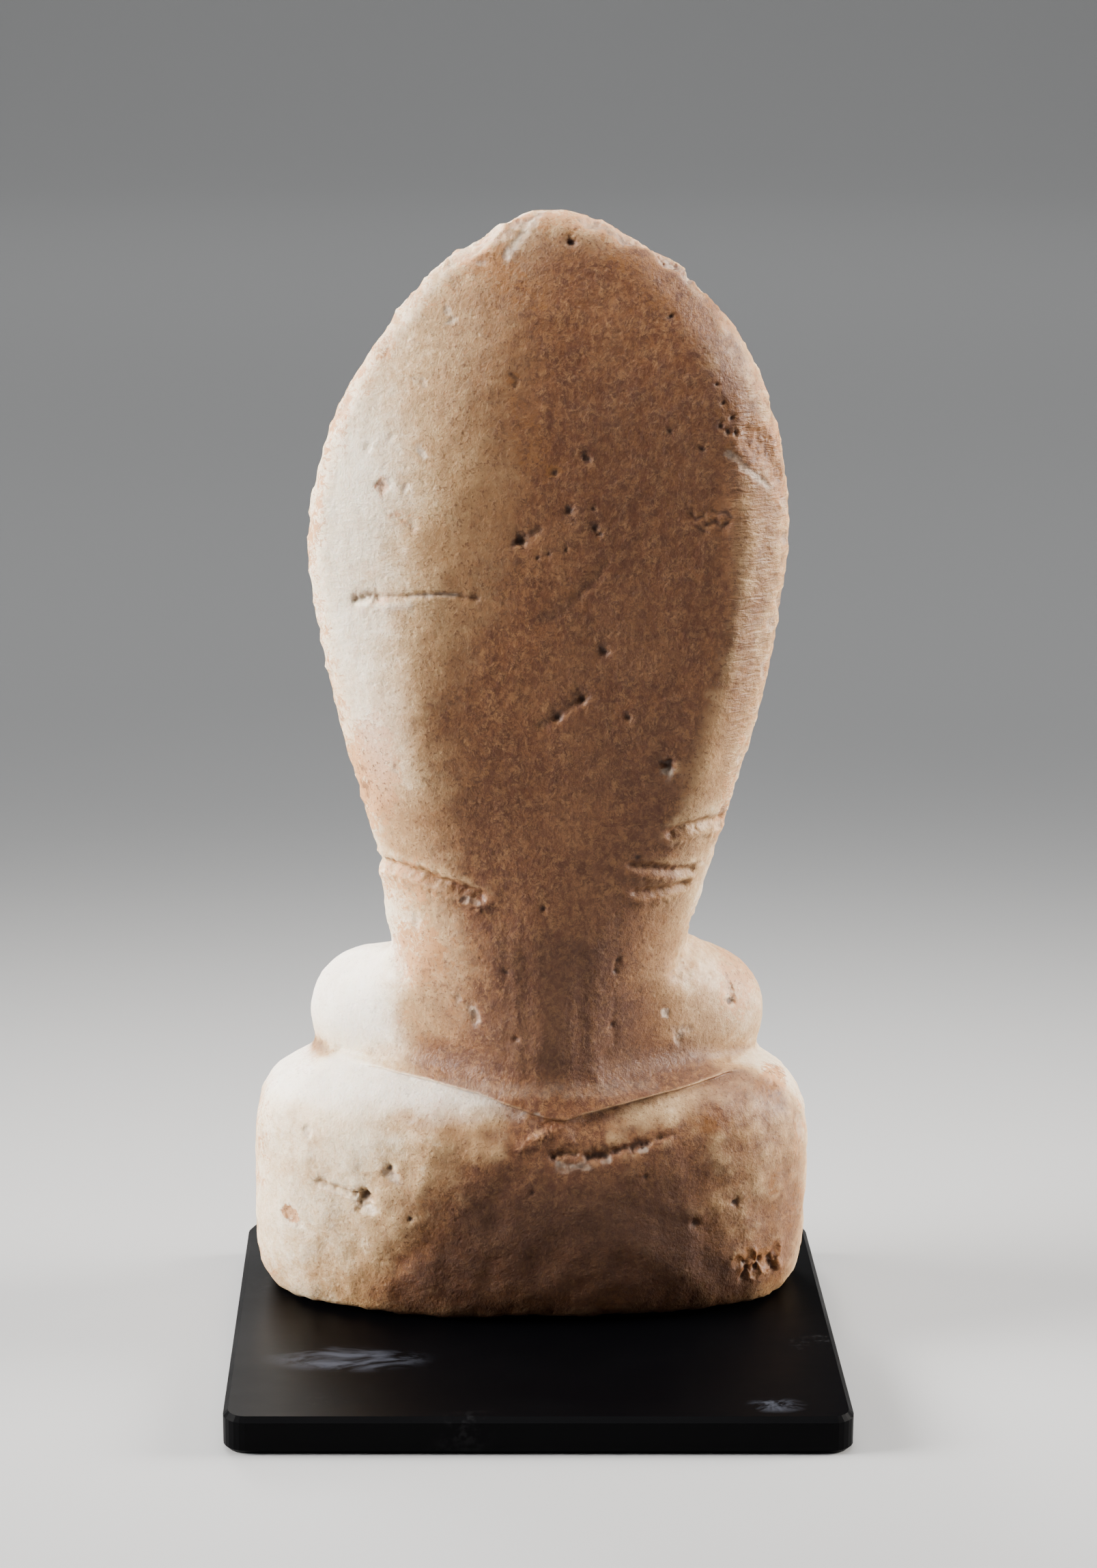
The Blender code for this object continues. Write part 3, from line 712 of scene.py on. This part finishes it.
# Pixel, radius of the ball, depth, fresh stone, rust
CHIPS = (
    (760, 328, 3.0, 0.5, 0.3, 0.2), (735, 344, 3.4, 0.5, 0.2, 0.3), (1120, 655, 9.0, 0.9, 0.0, 0.75),
    (1098, 640, 6.0, 0.5, 0.0, 0.8), (1140, 690, 6.0, 0.7, 0.0, 0.6), (690, 1470, 2.6, 0.3, 0.05, 0.0),
    (697, 1490, 2.0, 0.4, 0.2, 0.0), (672, 1462, 1.6, 0.25, 0.1, 0.0), (993, 1518, 2.4, 0.45, 0.15, 0.1),
    (1004, 1508, 2.2, 0.5, 0.2, 0.3), (576, 1722, 1.8, 0.5, 0.4, 0.2), (619, 664, 1.3, 0.3, 0.6, 0.0),
    (571, 706, 1.4, 0.3, 0.6, 0.0), (594, 715, 1.2, 0.25, 0.5, 0.0), (559, 712, 2.4, 0.5, 0.1, 0.7),
    (824, 1712, 1.6, 0.35, 0.2, 0.0), (858, 1710, 1.4, 0.3, 0.25, 0.0), (941, 1683, 1.3, 0.2, 0.2, 0.0),
    (542, 1773, 1.8, 0.5, 0.7, 0.0), (684, 1311, 1.2, 0.15, 0.15, 0.0), (696, 1318, 1.0, 0.15, 0.15, 0.0),
    (423, 1777, 2.8, 0.8, 0.1, 0.8), (438, 1792, 1.4, 0.4, 0.5, 0.3), (978, 1131, 1.3, 0.35, 0.5, 0.0),
    (450, 1655, 2.2, 0.5, 0.5, 0.2), (610, 1635, 3.0, 0.5, 0.4, 0.1), (975, 1483, 1.3, 0.35, 0.5, 0.0),
    (1045, 1640, 3.0, 0.6, 0.2, 0.6), (1130, 1590, 4.0, 0.7, 0.0, 0.7), (872, 1675, 1.1, 0.3, 0.5, 0.0),
    (1082, 1848, 2.0, 0.4, 0.0, 0.9), (1098, 1840, 1.8, 0.4, 0.0, 0.9), (1120, 1846, 2.2, 0.5, 0.0, 0.9),
    (1135, 1828, 1.8, 0.4, 0.0, 0.9), (1106, 1862, 2.0, 0.4, 0.0, 0.9), (620, 560, 1.4, 0.25, 0.3, 0.0),
    (655, 455, 1.6, 0.25, 0.3, 0.0), (662, 470, 1.4, 0.25, 0.4, 0.0), (706, 385, 1.4, 0.25, 0.3, 0.0),
    (604, 770, 2.0, 0.3, 0.1, 0.4), (575, 640, 1.5, 0.25, 0.3, 0.1), (540, 655, 1.6, 0.25, 0.3, 0.0),
)
# Pixel, radius of the ball, depth
NICKS = (
    (722, 330, 11.0, 0.7), (700, 345, 9.0, 0.4), (912, 336, 12.0, 0.8), (940, 352, 9.0, 0.5),
    (1052, 440, 4.0, 0.7), (1020, 405, 3.6, 0.8), (965, 366, 3.0, 0.8), (640, 385, 3.0, 0.5),
    (600, 420, 3.4, 0.6), (470, 640, 3.0, 0.5), (560, 465, 2.2, 0.7), (540, 497, 2.0, 0.5),
    (494, 585, 2.6, 0.8), (500, 602, 2.0, 0.5), (742, 322, 2.6, 0.8), (868, 322, 3.2, 1.2),
    (888, 328, 2.4, 0.6), (925, 350, 2.6, 0.8), (990, 385, 3.2, 1.0), (1006, 402, 2.8, 0.8),
    (1030, 412, 2.4, 0.7), (1096, 482, 2.4, 0.7), (1137, 597, 2.4, 0.8), (1148, 735, 2.4, 0.7),
    (1150, 790, 2.0, 0.5), (1142, 880, 2.2, 0.6), (1131, 916, 2.2, 0.6), (1118, 985, 2.0, 0.5),
    (1085, 1110, 2.4, 0.6), (1054, 1200, 2.4, 0.8), (457, 742, 2.2, 0.5), (468, 905, 2.2, 0.6),
    (487, 990, 2.0, 0.5), (502, 1060, 2.0, 0.5), (560, 1262, 2.2, 0.6), (610, 1345, 2.6, 0.4),
    (1112, 1440, 3.0, 0.6), (1171, 1640, 3.6, 0.7),
)
# Pixel, half width and half height in pixels, and how strong
RUST_PATCHES = (
    (1110, 650, 50, 46, 0.95), (1072, 600, 34, 26, 0.45), (1140, 720, 16, 30, 0.7), (559, 710, 10, 22, 0.75),
    (1132, 1592, 34, 24, 0.75), (423, 1777, 16, 12, 0.9), (775, 650, 38, 66, 0.42), (752, 555, 14, 14, 0.7),
    (756, 590, 14, 20, 0.5), (812, 690, 16, 12, 0.8), (1042, 761, 42, 24, 0.42), (1134, 1740, 12, 44, 0.55),
    (1108, 1850, 46, 28, 1.0), (840, 322, 60, 22, 0.6), (970, 385, 100, 26, 0.45), (700, 345, 26, 14, 0.6),
    (560, 500, 30, 46, 0.50), (530, 560, 30, 40, 0.30), (450, 1545, 26, 20, 0.4), (1084, 1455, 26, 34, 0.6),
    (590, 760, 40, 18, 0.40), (600, 1500, 60, 40, 0.30), (640, 1620, 60, 20, 0.35), (1040, 1645, 30, 22, 0.6),
    (869, 1475, 8, 100, 0.45), (783, 1470, 9, 95, 0.22), (800, 1600, 150, 7, 0.35), (610, 1340, 30, 60, 0.30),
    (500, 640, 14, 40, 0.4), (640, 830, 60, 40, 0.2), (560, 880, 14, 8, 0.6), (1050, 1000, 20, 90, 0.25),
    (545, 1135, 52, 120, 0.78), (590, 1290, 70, 60, 0.50), (1082, 1425, 50, 80, 0.60),
    (612, 1395, 66, 70, 0.66),
)
# Height, then how far across the stain of the back begins, is whole, is still whole and ends, in millimetres.
# The stain is partly real and partly painted shade, darkening as the back turns away from the side lights
STAIN_REACH = (
    (12, 52, 26, -38, -72), (23, 49, 17, -28, -66), (33, 46, 9, -26, -56), (42, 36, 1, -21, -52),
    (50, 39, 6, -20, -48), (60, 43, 5, -15, -56), (72, 33, 7, -14, -36), (86, 33, 8, -15, -38),
    (103, 40, 10, -20, -46), (121, 40, 9, -27, -56), (140, 36, -1, -29, -62), (158, 36, -2, -29, -64),
    (177, 44, -1, -29, -62), (190, 42, -8, -30, -60), (200, 38, -12, -32, -64), (210, 44, -30, -31, -60),
)
# Height, and how deep the thin wash is that lies over everything else
WASH = (
    (8, 0.38), (36, 0.24), (44, 0.16), (50, 0.02), (76, 0.05), (90, 0.25), (114, 0.25), (130, 0.06),
    (165, 0.08), (185, 0.25), (206, 0.38),
)
# The figure's hidden front, by place across and height in millimetres. The lines of the face run from
# its middle to one side, each with its width and depth, and are cut on both.
FACE_X = -1.0
FACE_DIRT = 0.35
FACE_LINES = (
    (((-8.6, 136.9), (-6.2, 135.8), (-4.0, 135.9), (-2.4, 136.6)), 0.45, 0.55),
    (((-9.0, 139.8), (-6.4, 138.6), (-3.6, 138.6), (-2.2, 137.6)), 0.45, 0.35),
    (((-4.2, 128.3), (-2.2, 127.4), (0, 127.7)), 0.45, 0.60),
    (((-2.6, 125.3), (0, 124.9)), 0.7, 0.35),
    (((-1.5, 130.9), (-1.4, 130.8)), 0.6, 0.5),
    (((-13.0, 143.0), (-10.6, 147.4), (-6.0, 150.0), (0, 150.8)), 0.6, 0.6),
    (((-7.5, 118.9), (-4.0, 117.7), (0, 117.3)), 0.6, 0.35),
    (((-8.0, 116.1), (-4.0, 114.9), (0, 114.5)), 0.6, 0.35),
)
ROBE_LINES = (
    ((11.5, 112.5), (5.2, 106.0), (-2.6, 98.6), (-11.6, 91.0), (-18.6, 86.0)),
    ((18.0, 104.0), (15.5, 96.0), (12.0, 90.0), (7.0, 86.5)),
    ((14.0, 107.5), (10.5, 99.0), (5.0, 92.5), (-2.0, 88.6)),
    ((21.0, 97.0), (24.0, 95.0), (27.5, 94.6)),
    ((21.5, 89.0), (24.5, 87.0), (28.0, 86.8)),
    ((16.5, 80.0), (18.6, 76.6), (21.6, 74.5)),
    ((-38.0, 61.5), (-26.0, 60.2), (-12.0, 59.0)),
    ((-39.0, 57.0), (-26.0, 55.4), (-14.0, 54.4)),
    ((38.0, 59.0), (26.0, 57.2), (14.0, 56.0)),
    ((39.0, 55.0), (28.0, 53.2), (12.0, 52.6)),
    ((-24.0, 68.5), (-20.0, 65.8), (-12.0, 64.2)),
    ((27.0, 67.0), (22.0, 64.0), (20.0, 62.4)),
)
FINGER_LINES = (
    ((-7.0, 75.2), (4.0, 75.0)), ((-7.0, 76.8), (4.0, 76.6)), ((-6.0, 78.1), (3.0, 78.0)),
    ((-6.0, 71.2), (8.0, 71.3)), ((-6.0, 72.9), (8.0, 73.0)),
    ((20.5, 69.4), (22.5, 67.2)), ((18.0, 69.6), (19.6, 67.2)),
)
# The ring behind the head, from one angle to the other by equal turns, in degrees
RING_CENTRE = (-1.0, 137.0)
RING_RADIUS = 25.5
RING_TURNS = (-16, 197, 8)
THRONE_LINES = (
    ((-44.0, 46.8), (-22.0, 45.4), (0, 45.0), (22.0, 45.4), (44.0, 46.8)),
    ((-46.0, 17.0), (-23.0, 15.6), (0, 15.2), (23.0, 15.6), (46.0, 17.0)),
)
# Width, depth and dirt of the other lines of the front
ROBE_CUT = (0.8, 0.55, 0.30)
RING_CUT = (0.8, 0.45, 0.20)
FINGER_CUT = (0.45, 0.40, 0.35)
THRONE_CUT = (0.9, 0.50, 0.25)


def add_detail_faces(obj, places):
    """Halves the faces within reach of each place, so that small marks keep their shape."""
    bm = bmesh.new()
    bm.from_mesh(obj.data)
    for share in FINE_PASSES:
        middles = KDTree(len(bm.faces))
        for face in bm.faces:
            middles.insert(face.calc_center_median() / MM, face.index)
        middles.balance()
        chosen = {i for place, reach in places for _, i, _ in middles.find_range(place, share * reach)}
        bm.faces.ensure_lookup_table()
        edges = {e for i in sorted(chosen) for e in bm.faces[i].edges}
        bmesh.ops.subdivide_edges(bm, edges=sorted(edges, key=lambda e: e.index), cuts=1, use_grid_fill=True)
        bm.faces.index_update()
        bm.edges.index_update()
    bm.to_mesh(obj.data)
    bm.free()


def along(line, gap=1.6):
    """Points along a line of straight runs, no further apart than the gap."""
    found = [line[0]]
    for start, end in zip(line, line[1:]):
        steps = max(1, math.ceil(np.linalg.norm(end - start) / gap))
        found += [start + (end - start) * i / steps for i in range(1, steps + 1)]
    return found


def both_sides(line):
    """A line of the face's right half, and the same line on its left half."""
    return [[(FACE_X + side * x, z) for x, z in line] for side in (1, -1)]


def front_lines():
    """Every line cut on the front: places, width, depth, dirt."""
    for line, width, depth in FACE_LINES:
        for half in both_sides(line):
            yield half, width, depth, FACE_DIRT
    across, height = RING_CENTRE
    turns = np.radians(np.arange(*RING_TURNS))
    ring = [(across + RING_RADIUS * math.cos(t), height + RING_RADIUS * math.sin(t)) for t in turns]
    drawn = (ROBE_LINES, ROBE_CUT), ([ring], RING_CUT), (FINGER_LINES, FINGER_CUT), (THRONE_LINES, THRONE_CUT)
    for lines, cut in drawn:
        for line in lines:
            yield line, *cut


def marked_places(stone):
    """Every place that needs small faces, with how far round it they reach."""
    places = [(stone.at((x, y))[0], 2.0 * r + 0.8) for x, y, r, _ in PITS]
    places += [(stone.at((x, y))[0], min(r, 4) * 0.75 + 0.6) for x, y, r, *_ in CHIPS + NICKS]
    for line, width, *_ in STREAKS + CREASES + RIDGES + SCARS:
        places += [(p, 1.5 * width + 0.6) for p in along(stone.on_line(line))]
    places += [(p, 1.8) for p in along(stone.on_line(SEAM))]
    for line, width, _, _ in front_lines():
        places += [(p, 1.5 * width + 0.5) for p in along([stone.in_front(*place) for place in line])]
    return places


def roughen(stone):
    """The uneven hand-worked surface: broad dents, then a fine worn tooth."""
    broad = field(stone.points, 0.045, 2, 3.1)
    middling = field(stone.points, 0.16, 3, 8.4)
    fine = field(stone.points, 0.75, 2, 1.3)
    x, y, z = stone.points.T
    knobbly = field(stone.points, 0.42, 3, 12.7)
    base = 1 - smooth(z, 44, 52)
    rim = smooth(stone.distance_to_edge(), 4.0, 0.5) * smooth(z, 84, 92)
    face = smooth(np.hypot(x + 1, z - 136), 19, 14) * smooth(y, -24, -28)
    calm = 1 - 0.85 * face
    worn = (0.25 + 0.45 * base) * broad + (0.12 + 0.28 * base) * middling
    stone.push(calm * (worn + (0.06 + 0.10 * base + 0.42 * rim) * knobbly + 0.06 * fine))


def stain_and_shade_back(stone, drift, wander, above):
    """The old brown stain down the back, partly painted shade, the thin wash over everything, and the darkest
    parts of both, laid on as dirt and painted shade.
    """
    x, y, z = stone.points.T
    behind = smooth(y, -16, -6)
    base = (1 - above) * behind
    below = np.interp(x, *stone.seam) - z

    levels, *reaches = (np.array(column) for column in zip(*STAIN_REACH))
    begins, whole, still_whole, ends = (np.interp(z, levels, reach) for reach in reaches)
    # Painted shade in part: the stain ramps up from the lit flanks towards the middle of the back.
    left = np.clip((begins - x - wander) / (begins - whole), 0, 1)
    right = np.clip((x + 0.6 * wander - ends) / (still_whole - ends), 0, 1)
    stain_and_shade = np.minimum(left, right)
    # Painted light: the stain is thinner on the shelf just below the seam, where its top faces up to the
    # light.
    shelf = base * smooth(below, 7.5, 3.0) * smooth(np.abs(x + 5), 6, 14)
    stain_and_shade *= 1 - 0.50 * shelf * (0.6 + 0.4 * smooth(x, -30, 0))
    # Painted shade: the stain darkens the underside of the knees just above the seam.
    legs = above * smooth(below, -14, -6) * band(x, -50, -32, 15, 34)
    stain_and_shade = np.maximum(stain_and_shade, 0.9 * legs)
    stone.add_paint("stain_and_shade", stain_and_shade * behind)

    wash_and_shade = np.interp(z, *zip(*WASH)) + 0.12 * drift
    # Partly stain, partly painted shade: the wash darkens the right knee, the right bevel and the right of
    # the shelf, where less light falls.
    wash_and_shade += 0.32 * smooth(x, -20, -34) * band(z, 50, 56, 76, 84)
    bevel = 0.20 + 0.30 * smooth(z, 90, 80) + 0.20 * smooth(z, 165, 180)
    wash_and_shade += bevel * smooth(x, -20, -36) * behind
    wash_and_shade += 0.26 * base * smooth(x, -20, -32) * smooth(below, 10, 5)
    stone.add_paint("stain_and_shade", np.clip(wash_and_shade, 0, 1))

    # Painted shade, partly dirt: the darkest stain is laid on as dirt and painted shade in the base's middle,
    # low on the back and right of the middle.
    darkest = smooth(stain_and_shade, 0.75, 1.0) * behind
    stone.add_paint("dirt_and_shade", 0.72 * base * darkest * smooth(z, 46, 26))
    stone.add_paint("dirt_and_shade", 0.50 * darkest * band(z, 50, 57, 76, 92))
    stone.add_paint("dirt_and_shade", 0.18 * darkest * band(z, 74, 86, 108, 128))
    stone.add_paint("dirt_and_shade", 0.34 * darkest * smooth(x, 5, -12) * band(z, 100, 110, 175, 190))


def rust_edges(stone, wander, patchy, above):
    """Rust at the top, along the halo's edge, at the throne's ends and foot, and in single patches."""
    x, y, z = stone.points.T
    halo_edge = smooth(stone.distance_to_edge() + 0.25 * wander, EDGE_BAND, 0.5) * smooth(z, 88, 100)
    throne_ends = smooth(np.abs(x) + 0.5 * wander, 45, 51) * (1 - above)
    stone.add_paint("rust", 0.66 * smooth(z, 182, 202) * smooth(patchy, -0.5, 0.3))
    stone.add_paint("rust", (0.42 + 0.3 * patchy) * halo_edge)
    stone.add_paint("rust", (0.35 + 0.3 * patchy) * throne_ends)
    stone.add_paint("rust", 0.5 * smooth(z, 22, 9) * smooth(patchy, -0.2, 0.6) * smooth(y, -16, -6))
    for px, py, half_width, half_height, strength in RUST_PATCHES:
        place, _ = stone.at((px, py))
        reach_x, reach_z = half_width * PIXEL_SPAN[0], half_height * PIXEL_SPAN[1]
        away = np.hypot((x - place[0]) / reach_x, (z - place[2]) / reach_z) + 0.35 * (stone.tooth - 1)
        stone.add_paint("rust", strength * smooth(away, 1.2, 0.35) * smooth(np.abs(y - place[1]), 14, 6))


def highlight_flanks(stone, wander, above):
    """Painted highlights: the left flank, the knees, most of all the left one, and the top of the throne are
    paler where they face the left light and the light from above.
    """
    x, _, z = stone.points.T
    flank = smooth(x + 0.6 * wander, 20, 32) * band(z, 96, 125, 166, 182)
    knees = smooth(np.abs(x + 1 + 0.5 * wander), 24, 32) * above * band(z, 53, 60, 74, 80)
    ledge = (1 - above) * smooth(stone.normals[:, 2], 0.25, 0.7) * smooth(z, 40, 46)
    # Painted highlight on the flank away from its edge, on the knees by how far left they lie, and on the
    # throne's faces that turn up.
    stone.add_paint("pale", 0.30 * flank * smooth(stone.distance_to_edge(), 1.0, 6.0))
    stone.add_paint("pale", (0.05 + 0.65 * smooth(x, -20, 20)) * knees)
    stone.add_paint("pale", (0.02 + 0.60 * smooth(x, -20, 20)) * ledge)


def mark_filed_stone(stone):
    """The bevel on the right and a field on the left keep the marks of the file."""
    x, y, z = stone.points.T
    behind = smooth(y, -16, -6)
    stone.add_paint("files", 0.7 * smooth(x, -32, -35) * band(z, 92, 104, 176, 188) * behind)
    stone.add_paint("files", 0.2 * smooth(x, 12, 22) * band(z, 130, 140, 160, 170) * behind)


def soil(stone):
    """Paints where stain and painted shade, rust, painted highlights and file marks lie, with wandering
    borders.
    """
    x, _, z = stone.points.T
    drift = field(stone.points, 0.05, 3, 5.5)
    wander = drift * 6 + field(stone.points, 0.3, 2, 2.2) * 2
    patchy = field(stone.points, 0.1, 3, 4.0)
    above = smooth(z - np.interp(x, *stone.seam), -0.4, 0.5)
    stain_and_shade_back(stone, drift, wander, above)
    rust_edges(stone, wander, patchy, above)
    highlight_flanks(stone, wander, above)
    mark_filed_stone(stone)


def cut_shelf(stone):
    """The top of the throne runs in under the legs, and slopes out and down from the seam."""
    x, y, z = stone.points.T
    below = np.interp(x, *stone.seam) - z
    aside = np.abs(x - SEAM_MIDDLE)
    slope = (1 - np.clip((below - 0.6) / SHELF_FALL, 0, 1)) ** 1.4
    step = SHELF_STEP * smooth(below, -0.2, 0.6) * slope * (1 - 0.45 * smooth(aside, 9, 2))
    stone.points[:, 1] -= step * smooth(y, -12, -6) * smooth(aside, 46, 38)
    stone.write()


def cut_marks(stone):
    """Cuts every mark of the back, then the lines of the front."""
    for line, width, depth in CREASES:
        stone.groove(stone.on_line(line), width, depth, lip=depth * 0.3)
    for line, width, height in RIDGES:
        stone.groove(stone.on_line(line), width, -height)
    for px, py, radius, depth, fresh, rust in CHIPS:
        stone.bite(*stone.at((px, py)), radius, depth, fresh, rust)
    for px, py, radius, depth in NICKS:
        stone.bite(*stone.at((px, py)), radius, depth, 0.25, 0.35)
    for line, width, depth, fresh in SCARS:
        stone.scar(stone.on_line(line), width, depth, fresh)
    for line, width, depth, dirt_and_shade in STREAKS:
        stone.groove(stone.on_line(line), width, depth, dirt_and_shade)
    for px, py, radius, depth in PITS:
        stone.pit(stone.at((px, py))[0], radius, depth)
    for line, width, depth, dirt_and_shade in front_lines():
        stone.groove([stone.in_front(*place) for place in line], width, depth, dirt_and_shade)


def weather(stone):
    """Dirt gathers in the hollows, and the crests are rubbed clean, most of all on the figure's front."""
    hollow = stone.hollows()
    front = smooth(stone.points[:, 1], -12, -20)
    gathered = smooth(hollow, 0.03, 0.40)
    rubbed = smooth(-hollow, 0.03, 0.35)
    stain_and_shade = stone.paint["stain_and_shade"] * (1 - 0.35 * rubbed) + (0.18 + 0.40 * front) * gathered
    stone.paint["stain_and_shade"] = np.clip(stain_and_shade + 0.17 * front, 0, 1)
    stone.add_paint("dirt_and_shade", (0.10 + 0.30 * front) * smooth(hollow, 0.20, 0.75))


def write_paint(stone):
    """Keeps the paint as colour attributes, for the stone's material to read."""
    mesh = stone.obj.data
    for name, keys in PAINTS.items():
        layer = mesh.color_attributes.new(name, "FLOAT_COLOR", "POINT")
        colours = np.ones((len(mesh.vertices), 4), np.float32)
        for channel, key in enumerate(keys):
            colours[:, channel] = np.clip(stone.paint[key], 0, 1)
        layer.data.foreach_set("color", colours.ravel())


def carve_statue():
    """Makes the worn stone statue out of the part's own solid."""
    obj = even_copy("buddha_statue", "alabaster_buddha")
    soften_hips(obj)
    seam = find_seam(obj)
    fill_lap(obj, seam)
    stone = Stone(obj, seam)
    foot = stone.points[:, 2].min()
    roughen(stone)
    stone.write()
    stone.read()
    add_detail_faces(obj, marked_places(stone))
    stone.read()
    soil(stone)
    cut_shelf(stone)
    cut_marks(stone)
    low, high = (np.array(corner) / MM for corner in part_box("buddha_statue"))
    stone.points = np.clip(stone.points, low, high)
    stone.points[stone.points[:, 2] < foot + 0.3, 2] = low[2]
    stone.write()
    weather(stone)
    write_paint(stone)
    obj.data.shade_smooth()
    obj.data.materials.clear()
    obj.data.materials.append(alabaster())
    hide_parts("buddha_statue")
    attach(obj, "root")


def dress_stand():
    """Gives the slab its material. Its shape stays as it is."""
    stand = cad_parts["display_stand"]
    stand.data.materials.clear()
    stand.data.materials.append(black_acrylic())


add_camera()
add_floor()
add_lights()
carve_statue()
dress_stand()
